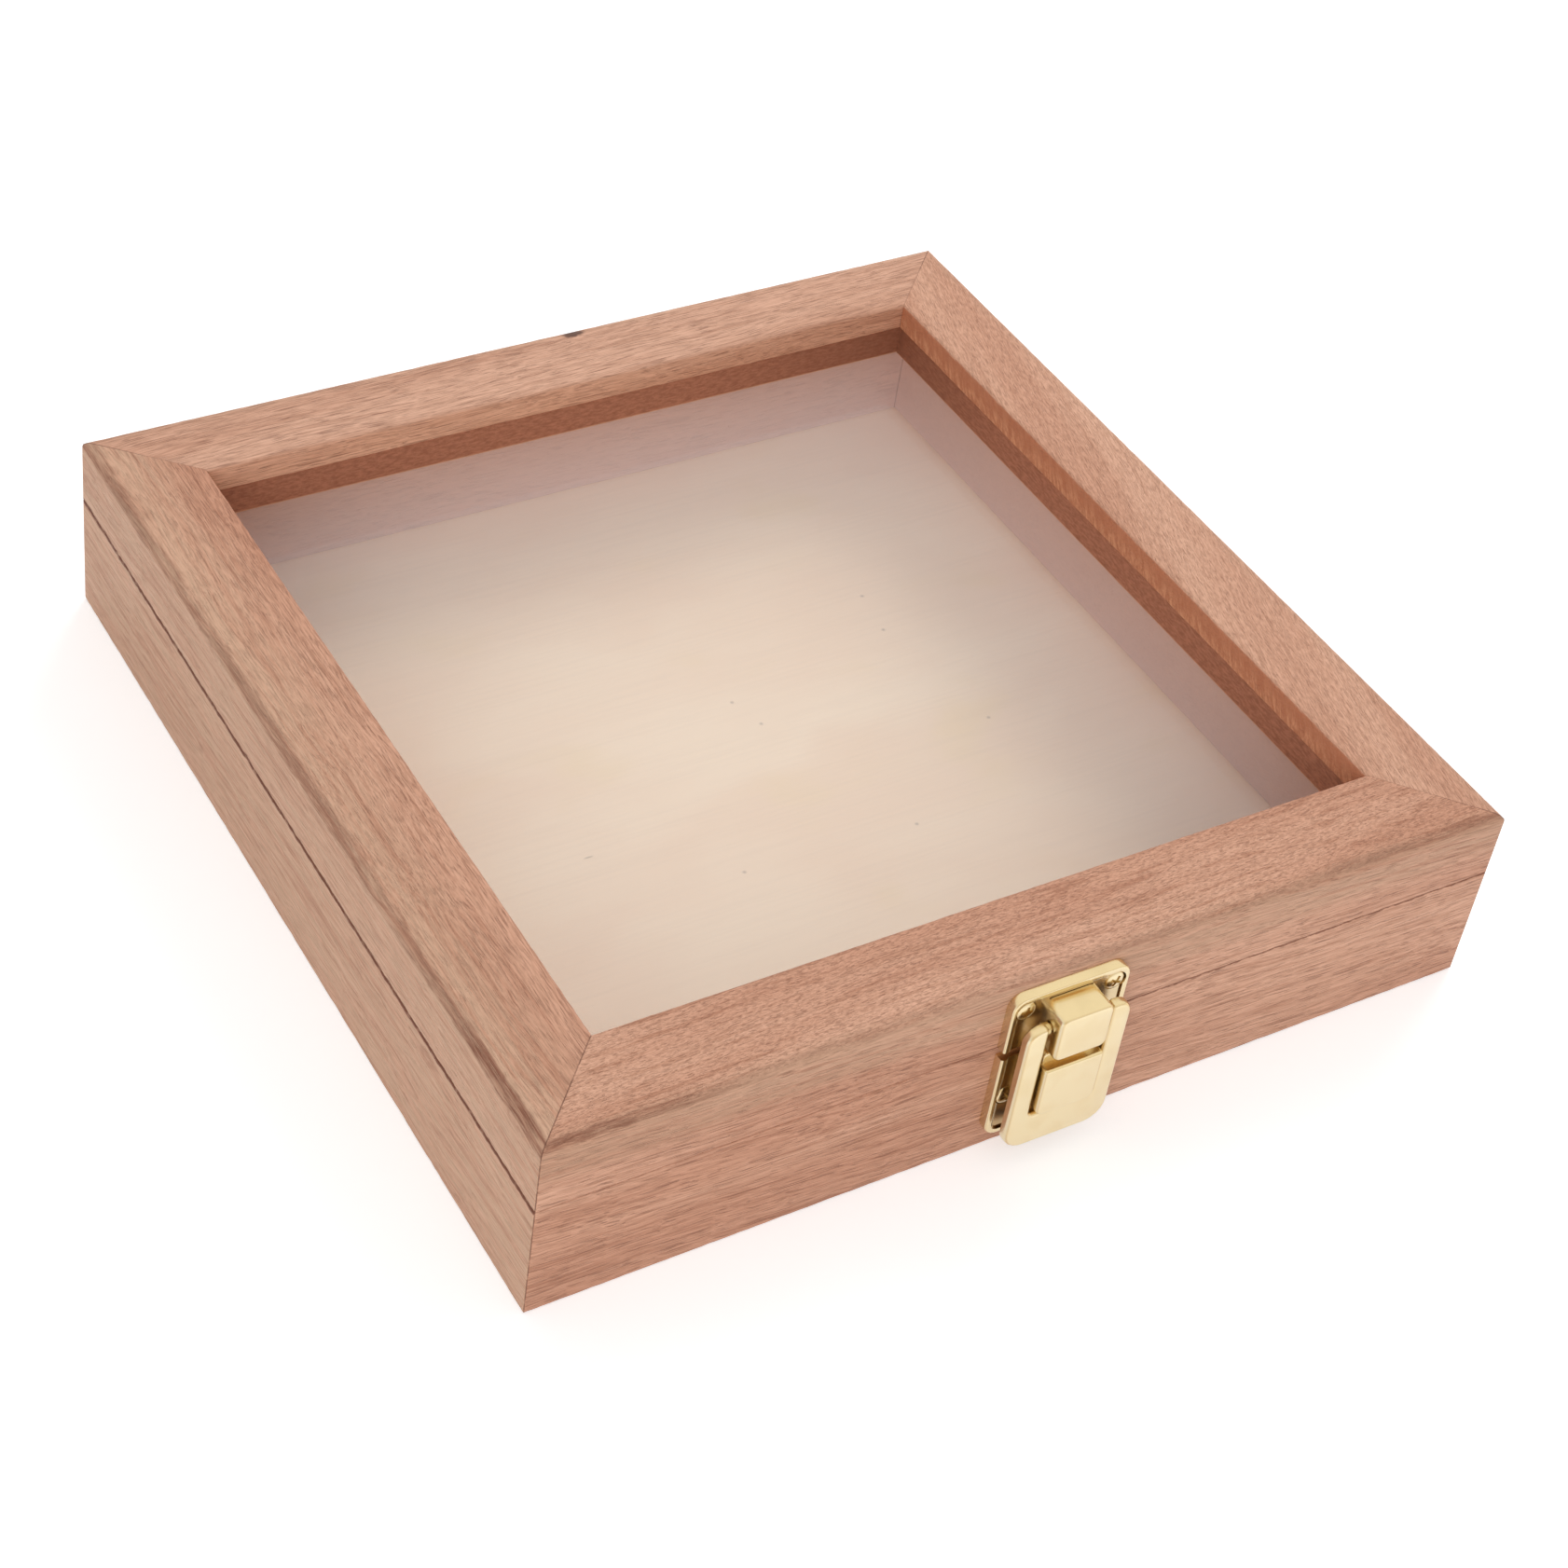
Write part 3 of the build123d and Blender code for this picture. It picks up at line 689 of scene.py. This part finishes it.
# Painted shade: the strips grow darker towards the back right corner, where less light falls.
painted_shade_back_right = fade(tree, maths(tree, "ADD", strip_x, strip_y), 110.0, 175.0, 0.0, 0.55)
colour = tint(tree, painted_shade_back_right, colour, shaded_stain)
bare = fade(tree, strip_z, strip_low.z / mm + 0.15, strip_low.z / mm + 0.45, 0.8, 0.0)
colour = tint(tree, bare, colour, bare_wood)
give(tree, shader, {"Base Color": colour, "Roughness": 0.55, "Specular IOR Level": 0.35})
strip_wear = 0.04
strip_near = (half_width + strip_low.y) / mm
strip_far = (half_width + strip_high.y) / mm
wooden_frame("strip", section_curve("strip_section", [
    (strip_near, strip_low.z / mm, 0.1),
    (strip_far, strip_low.z / mm, 0.2),
    (strip_far, strip_high.z / mm, 0.3),
    (strip_near, strip_high.z / mm, 0.1),
]), "lid", "glass_strip_", "dark_strip", {side: strip_stained for side in sides}, strip_wear)

# Glass pane. Clear glass, 1.8 mm thick, pushed up against the strips from below.
# A thin pale haze of dust and grease lies on its faces. Lamps and bounced light pass straight through.
hazy_glass, tree, shader, _ = new_material("hazy_glass")
give(tree, shader, {
    "Base Color": (0.95, 0.97, 1.0, 1.0), "Transmission Weight": 0.915, "Roughness": 0.0, "IOR": 1.25})
path = tree.nodes.new("ShaderNodeLightPath")
clear = added(tree, "ShaderNodeBsdfTransparent", {"Color": (0.98, 0.985, 0.99, 1.0)})
lights_only = maths(tree, "MAXIMUM", path.outputs["Is Shadow Ray"], path.outputs["Is Diffuse Ray"])
lit_through = added(tree, "ShaderNodeMixShader", {0: lights_only, 1: shader.outputs[0], 2: clear.outputs[0]})
give(tree, tree.nodes["Material Output"], {"Surface": lit_through.outputs[0]})
coat(nodes["glass_pane"], hazy_glass)

# Latch plates. Two trays pressed from brass sheet, one each side of the seam, with a bead round three edges.
# A hinge box stands on the upper one and a catch box on the lower one. The brass has painted reflections:
# tints by the way each face looks, and the dishes are darker on the left for the flap and boxes they mirror.
front_face = -half_width
latch_middle = 1.8
plate_half = 12.3
plate_outer_radius = 2.8
dish_rise = 1.6
past_bead = 4.0
lid_plate_low, lid_plate_high = 26.2, 38.8
base_plate_low, base_plate_high = 4.6, 24.4
hinge_box_half, hinge_box_height, hinge_box_rise = 5.5, 10.4, 7.4
catch_box_half, catch_box_height, catch_box_rise = 6.1, 11.6, 7.0
catch_box_high = base_plate_high - 0.6
screw_from_middle = 9.3
screw_radius = 2.05
upper_screw_height = 35.4
lower_screw_height = 14.2
brass, tree, shader, place = new_material("pale_brass")
own_normal = tree.nodes.new("ShaderNodeTexCoord").outputs["Normal"]
facing_right, facing_back, facing_up = split(tree, own_normal)
lit_front_brass, shaded_side_brass = screen_colour(234, 217, 179), screen_colour(210, 178, 126)
lit_left_brass, lit_top_brass = screen_colour(226, 214, 182), screen_colour(240, 216, 165)
film_brass, dish_reflection_brown = screen_colour(222, 198, 148), screen_colour(166, 128, 76)
# Painted reflection: each face is tinted by the way it looks, pale on the front, left and top faces and
# darker gold on the other sides.
colour = tint(tree, fade(tree, facing_back, -0.98, -0.70), lit_front_brass, shaded_side_brass)
colour = tint(tree, fade(tree, facing_right, -0.9, -0.5, 1.0, 0.0), colour, lit_left_brass)
colour = tint(tree, fade(tree, facing_up, 0.45, 0.85), colour, lit_top_brass)
film = noise(tree, place, (0.2, 0.2, 0.2), 2.0)
colour = tint(tree, fade(tree, film, 0.35, 0.7, 0.0, 0.3), colour, film_brass)
brass_x, brass_y, _ = split(tree, place)
# Painted reflection: the front faces of the dishes are darkened, most on the left, where they mirror the flap
# and the boxes.
dish_rim = front_face / mm - dish_rise
painted_dish_reflection = product(
    tree, fade(tree, brass_y, dish_rim - 0.15, dish_rim - 0.03), fade(tree, brass_x, -8.0, 8.0, 0.7, 0.2),
    fade(tree, facing_back, -0.9, -0.6, 1.0, 0.0))
colour = tint(tree, painted_dish_reflection, colour, dish_reflection_brown)
dent_depth = 0.004
dents = relief(tree, noise(tree, place, (0.9, 0.9, 0.9), 2.0, 0.5), dent_depth)
give(tree, shader, {"Base Color": colour, "Metallic": 1.0, "Roughness": 0.24, "Normal": dents})


def inset(corners, distance):
    """A closed outline moved inwards. Round corners that bulge out lose radius, and hollow ones gain it."""
    moved = []
    for place, (x, y, radius) in enumerate(corners):
        here = Vector((x, y))
        before = (here - Vector(corners[place - 1][:2])).normalized()
        after = (Vector(corners[(place + 1) % len(corners)][:2]) - here).normalized()
        inner = Vector((-before.y, before.x)) + Vector((-after.y, after.x))
        bulges = before.x * after.y - before.y * after.x > 0
        corner = here + inner * (distance / (1 + before.dot(after)))
        moved.append((corner.x, corner.y, max(radius - distance if bulges else radius + distance, 0.02)))
    return moved


def pressing(corners, levels):
    """A closed skin through the same outline at several levels, each a distance inwards and a rise."""
    skin = bmesh.new()
    loops = []
    for distance, rise in levels:
        loops.append([skin.verts.new((p.x, p.y, rise)) for p in rounded(inset(corners, distance), 6)])
    for lower, upper in zip(loops, loops[1:]):
        for step in range(len(lower)):
            after = (step + 1) % len(lower)
            skin.faces.new((lower[step], lower[after], upper[after], upper[step]))
    skin.faces.new(list(reversed(loops[0])))
    skin.faces.new(loops[-1])
    return skin


def soft_edge(radius, rise):
    """The levels of a quarter round up to a flat front."""
    angles = [math.radians(15 * step) for step in range(7)]
    return [(radius * (1 - math.cos(a)), rise - radius * (1 - math.sin(a))) for a in angles]


def tray(low, high, open_at_low):
    """A plate with a rounded bead round it and a shallow dish inside, cut off at the end towards the seam."""
    past = 6.0
    bottom, top = (low - past, high) if open_at_low else (low, high + past)
    corners = [(x, y, plate_outer_radius) for x, y in (
        (-plate_half, bottom), (plate_half, bottom), (plate_half, top), (-plate_half, top))]
    bead = [(0.0, 1.62), (0.04, 1.77), (0.13, 1.89), (0.26, 1.97), (0.42, 2.0), (1.05, 2.0),
            (1.22, 1.95), (1.36, 1.82), (1.50, 1.68), (1.68, 1.61)]
    dish_inset = 1.85
    skin = pressing(corners, [(0.0, 0.0)] + bead + [(dish_inset, dish_rise)])
    cut_off = Vector((0, -1, 0)) if open_at_low else Vector((0, 1, 0))
    everything = skin.verts[:] + skin.edges[:] + skin.faces[:]
    cut = bmesh.ops.bisect_plane(
        skin, geom=everything, plane_co=(0, low if open_at_low else high, 0), plane_no=cut_off,
        clear_outer=True)["geom_cut"]
    bmesh.ops.edgeloop_fill(skin, edges=[item for item in cut if isinstance(item, bmesh.types.BMEdge)])
    return skin


def box_pressing(half, low, high, rise, radii, softness):
    """A box with a soft front edge and two radii for its corners, the lower ones first."""
    corners = [(-half, low, radii[0]), (half, low, radii[0]), (half, high, radii[1]), (-half, high, radii[1])]
    foot = dish_rise - 0.4
    return pressing(corners, [(0.0, foot)] + soft_edge(softness, rise))


def rod(radius, start, end):
    """A round rod between two points."""
    start, end = Vector(start), Vector(end)
    skin = bmesh.new()
    stand = Matrix.Translation((start + end) / 2) @ (end - start).to_track_quat("Z", "Y").to_matrix().to_4x4()
    bmesh.ops.create_cone(
        skin, cap_ends=True, segments=40, radius1=radius, radius2=radius, depth=(end - start).length,
        matrix=stand)
    return skin


def put_on_front(piece):
    """Moves what is drawn flat, right and up and out in millimetres, onto the box's front face."""
    piece.data.transform(Matrix((
        (mm, 0, 0, latch_middle * mm), (0, 0, -mm, front_face), (0, mm, 0, 0), (0, 0, 0, 1))))


def latch_piece(name, skins, holes, body, replaced):
    """One brass piece of the latch, drawn flat, with rods and blocks taken out of its first skin."""
    piece = from_skins(name, skins[:1])
    if holes:
        cutter = from_skins("holes", holes)
        cut_out(piece, cutter)
        bpy.data.objects.remove(cutter)
    others = from_skins("others", skins[1:])
    whole = bmesh.new()
    whole.from_mesh(piece.data)
    whole.from_mesh(others.data)
    whole.to_mesh(piece.data)
    whole.free()
    bpy.data.objects.remove(others)
    put_on_front(piece)
    shade(piece, crease_degrees=40)
    coat(piece, brass)
    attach(piece, body)
    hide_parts(replaced)


def screw_holes(height):
    """Room for the two screws of a plate, a little wider than their heads."""
    hole_radius = screw_radius + 0.12
    return [rod(hole_radius, (x, height, dish_rise - 0.7), (x, height, past_bead))
            for x in (-screw_from_middle, screw_from_middle)]


hinge_box_high = lid_plate_low + hinge_box_height
fold_half = hinge_box_half - 0.9
fold_line = box_skin(
    (-fold_half, hinge_box_high - 0.5, dish_rise - 0.3), (fold_half, hinge_box_high + 0.14, past_bead))
latch_piece("latch_upper_plate", [
    tray(lid_plate_low, lid_plate_high, open_at_low=True),
    box_pressing(hinge_box_half, low=lid_plate_low, high=hinge_box_high, rise=hinge_box_rise,
                 radii=(1.5, 1.7), softness=0.85),
], screw_holes(upper_screw_height) + [fold_line], "lid", "latch_lid_plate")
groove_floor = box_pressing(
    catch_box_half - 0.5, low=catch_box_high - 3.0, high=lid_plate_low - 0.15, rise=4.9,
    radii=(0.5, 0.9), softness=0.4)
latch_piece("latch_lower_plate", [
    tray(base_plate_low, base_plate_high, open_at_low=False),
    box_pressing(catch_box_half, low=catch_box_high - catch_box_height, high=catch_box_high,
                 rise=catch_box_rise, radii=(1.7, 0.5), softness=0.6),
    groove_floor,
], screw_holes(lower_screw_height), "base", "latch_base_plate")

# Latch flap. A U pressed from one brass sheet, with rolled edges, that turns on a pin in the hinge box.
# Shut, its window lies round both boxes, and the catch box holds it.
flap_half = 10.9
flap_low = 3.9
flap_sheet = 1.0
flap_edge_radius = 0.85
flap_rim = 0.2
pin_height = 32.1
pin_rise = 4.0
flap_high = pin_height + 1.9
flap_front, flap_back = 6.0, 4.0
window_half = catch_box_half + 0.5
window_low = catch_box_high - catch_box_height - 0.4
flap_outline = [
    (-flap_half, flap_low, 4.4), (flap_half, flap_low, 4.4),
    (flap_half, flap_high, 3.0), (window_half, flap_high, 0.9), (window_half, window_low, 0.9),
    (-window_half, window_low, 0.9), (-window_half, flap_high, 0.9), (-flap_half, flap_high, 3.0),
]
hollow_back = [
    (flap_sheet, flap_front - flap_sheet), (flap_sheet, flap_back + 0.1), (flap_sheet - flap_rim, flap_back),
    (flap_rim, flap_back), (0.0, flap_back + flap_rim)]
lug_radius = 1.2
lug_inner, lug_outer = hinge_box_half + 0.3, hinge_box_half + 1.3
latch_piece("latch_flap_pressing", [
    pressing(flap_outline, hollow_back + soft_edge(flap_edge_radius, flap_front)),
    rod(lug_radius, (-lug_outer, pin_height, pin_rise), (-lug_inner, pin_height, pin_rise)),
    rod(lug_radius, (lug_inner, pin_height, pin_rise), (lug_outer, pin_height, pin_rise)),
], [], "flap", "latch_flap")

# Latch pin and hinges. Brass rod and small stop hinges of brass sheet, let into the seam at the back.
# They are plain stock pieces, cut square, so they keep the shapes of the solids.
for name, cad in nodes.items():
    if name.endswith(("_leaf", "_pin")):
        coat(cad, brass)


# Screws. Brass wood screws with a cross recess: four raised heads in the latch, eight flat in the hinges.
# One head is drawn for each size, and geometry nodes cut its cross and set it at each place.
def screw_head(radius, rise, sink):
    """One head, its axis up: a shallow dome over a short cone."""
    profile = [(0.35, 0.97 * rise), (0.65, 0.78 * rise), (0.86, 0.42 * rise), (0.97, 0.1 * rise),
               (1.0, -0.08), (0.62, -sink)]
    steps = 40
    turns = [math.tau * step / steps for step in range(steps)]
    head = bmesh.new()
    rings = []
    for share, level in profile:
        reach = share * radius * mm
        rings.append([head.verts.new((reach * math.cos(turn), reach * math.sin(turn), level * mm))
                      for turn in turns])
    top = head.verts.new((0, 0, rise * mm))
    bottom = head.verts.new((0, 0, -sink * mm))
    for step in range(steps):
        after = (step + 1) % steps
        head.faces.new((top, rings[0][step], rings[0][after]))
        for upper, lower in zip(rings, rings[1:]):
            head.faces.new((upper[step], lower[step], lower[after], upper[after]))
        head.faces.new((bottom, rings[-1][after], rings[-1][step]))
    return from_skins("screw_head", [head])


def screw_set_tree():
    """The rule for a set of screws: a head with its cross cut out, set on every point, facing out."""
    tree, named, given = tree_with_inputs("screw_set", {
        "Head": "NodeSocketObject",
        "Places": "NodeSocketObject",
        "Radius": "NodeSocketFloat",
        "Recess Floor": "NodeSocketFloat",
        "Tilt": "NodeSocketFloat",
        "Seed": "NodeSocketInt",
        "Metal": "NodeSocketMaterial",
    })
    head = added(tree, "GeometryNodeObjectInfo", {"Object": given["Head"]})
    places = added(tree, "GeometryNodeObjectInfo", {"Object": given["Places"]})
    cross = tree.nodes.new("GeometryNodeMeshBoolean")
    cross.operation = "DIFFERENCE"
    cross.solver = "EXACT"
    give(tree, cross, {"Mesh 1": head.outputs["Geometry"]})
    arm = maths(tree, "MULTIPLY", given["Radius"], 1.2)
    width = maths(tree, "MULTIPLY", given["Radius"], 0.3)
    arm_height = 2.0 * mm
    for size in ((arm, width), (width, arm)):
        arm_block = added(tree, "GeometryNodeMeshCube", {"Size": join(tree, *size, arm_height)})
        middle = maths(tree, "ADD", given["Recess Floor"], arm_height / 2)
        raised = added(tree, "GeometryNodeTransform", {
            "Geometry": arm_block.outputs["Mesh"], "Translation": join(tree, 0.0, 0.0, middle)})
        give(tree, cross, {"Mesh 2": raised.outputs[0]})
    scatter = added(tree, "GeometryNodeInstanceOnPoints", {
        "Points": places.outputs["Geometry"], "Instance": cross.outputs[0]})
    upright = added(tree, "GeometryNodeRotateInstances", {
        "Instances": scatter.outputs[0], "Rotation": join(tree, given["Tilt"], 0.0, 0.0)})
    chance = tree.nodes.new("FunctionNodeRandomValue")
    chance.data_type = "FLOAT"
    give(tree, chance, {2: 0.0, 3: math.pi / 2, "Seed": given["Seed"]})
    driven = added(tree, "GeometryNodeRotateInstances", {
        "Instances": upright.outputs[0], "Rotation": join(tree, 0.0, 0.0, chance.outputs[1]),
        "Local Space": True})
    end_with_material(tree, driven.outputs[0], given["Metal"])
    return tree, named


screw_set, screw_inputs = screw_set_tree()


def set_screws(name, places, head, radius, recess_floor, tilt, seed, body, replaced):
    """Screws at the given places, in metres."""
    points = bpy.data.meshes.new(name + "_places")
    points.from_pydata(places, [], [])
    holder = in_scene(name + "_places", points)
    piece = grown(name, screw_set, screw_inputs, {
        "Head": head, "Places": holder, "Radius": radius * mm, "Recess Floor": recess_floor * mm,
        "Tilt": math.radians(tilt), "Seed": seed, "Metal": brass,
    })
    bpy.data.objects.remove(holder)
    shade(piece, crease_degrees=40)
    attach(piece, body)
    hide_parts(replaced)


latch_recess_floor = -0.15
latch_head = screw_head(screw_radius, rise=0.5, sink=0.5)
for name, height, seed, body, replaced in (
    ("latch_upper_screws", upper_screw_height, 3, "lid", "latch_lid_screws"),
    ("latch_lower_screws", lower_screw_height, 8, "base", "latch_base_screws"),
):
    places = [((latch_middle + x) * mm, front_face - dish_rise * mm, height * mm)
              for x in (-screw_from_middle, screw_from_middle)]
    set_screws(name, places, latch_head, screw_radius, latch_recess_floor, 90, seed, body, replaced)
bpy.data.objects.remove(latch_head)

hinge_screw_radius = 1.5
hinge_screw_spread = 6.5 * mm
hinge_screw_y = half_width - 3.4 * mm
hinge_screw_sink = 0.08 * mm
hinge_recess_floor = -0.4
hinge_head = screw_head(hinge_screw_radius, rise=0.0, sink=0.9)
for name, height, tilt, seed, body, replaced in (
    ("hinge_lower_screws", seam_height - hinge_screw_sink, 0, 5, "base", "hinge_base_screws"),
    ("hinge_upper_screws", seam_height + hinge_screw_sink, 180, 6, "lid", "hinge_lid_screws"),
):
    places = [(centre + x, hinge_screw_y, height)
              for centre in hinge_centres for x in (-hinge_screw_spread, hinge_screw_spread)]
    set_screws(
        name, places, hinge_head, hinge_screw_radius, hinge_recess_floor, tilt, seed, body, replaced)
bpy.data.objects.remove(hinge_head)

# Studio. A white table in a white room, with a large soft lamp at the back right and one at the front left.
# The table shows white and keeps the box's soft shadow. Its size and the lamps' are in metres.
def looked_at(tree):
    """One for what the camera sees, also in metal and through glass, and nought for light on the box."""
    path = tree.nodes.new("ShaderNodeLightPath")
    return maths(tree, "MAXIMUM", path.outputs["Is Camera Ray"], maths(
        tree, "MAXIMUM", path.outputs["Is Glossy Ray"], path.outputs["Is Transmission Ray"]))


paper, tree, shader, _ = new_material("white_table")
table_glow = 0.42
give(tree, shader, {
    "Base Color": (0.88, 0.88, 0.88, 1.0), "Roughness": 0.9, "Emission Color": (1.0, 1.0, 1.0, 1.0),
    "Emission Strength": maths(tree, "MULTIPLY", looked_at(tree), table_glow)})
table_half = 20.0
table_height = -0.05 * mm
table_mesh = bpy.data.meshes.new("table")
table_corners = [
    (x * table_half, y * table_half, table_height) for x, y in ((-1, -1), (1, -1), (1, 1), (-1, 1))]
table_mesh.from_pydata(table_corners, [], [(0, 1, 2, 3)])
table_mesh.materials.append(paper)
table = in_scene("table", table_mesh)

room_light = 0.6
white_room = bpy.data.worlds.new("white_room")
white_room.use_nodes = True
bpy.context.scene.world = white_room
tree = white_room.node_tree
give(tree, tree.nodes["Background"], {
    "Color": (1.0, 1.0, 1.0, 1.0), "Strength": either(tree, looked_at(tree), room_light, 1.0)})


def soft_lamp(name, place, size, power):
    """A square soft lamp that points at the box."""
    data = bpy.data.lights.new(name, "AREA")
    data.size = size
    data.energy = power
    lamp = in_scene(name, data)
    lamp.location = place
    lamp.rotation_mode = "QUATERNION"
    lamp.rotation_quaternion = (-Vector(place)).to_track_quat("-Z", "Y")
    lamp.visible_glossy = False
    lamp.visible_transmission = False


soft_lamp("lamp_back_right", (0.85, 0.68, 0.85), size=0.9, power=9.7)
soft_lamp("lamp_front_left", (-0.85, -1.05, 0.55), size=0.8, power=7.0)
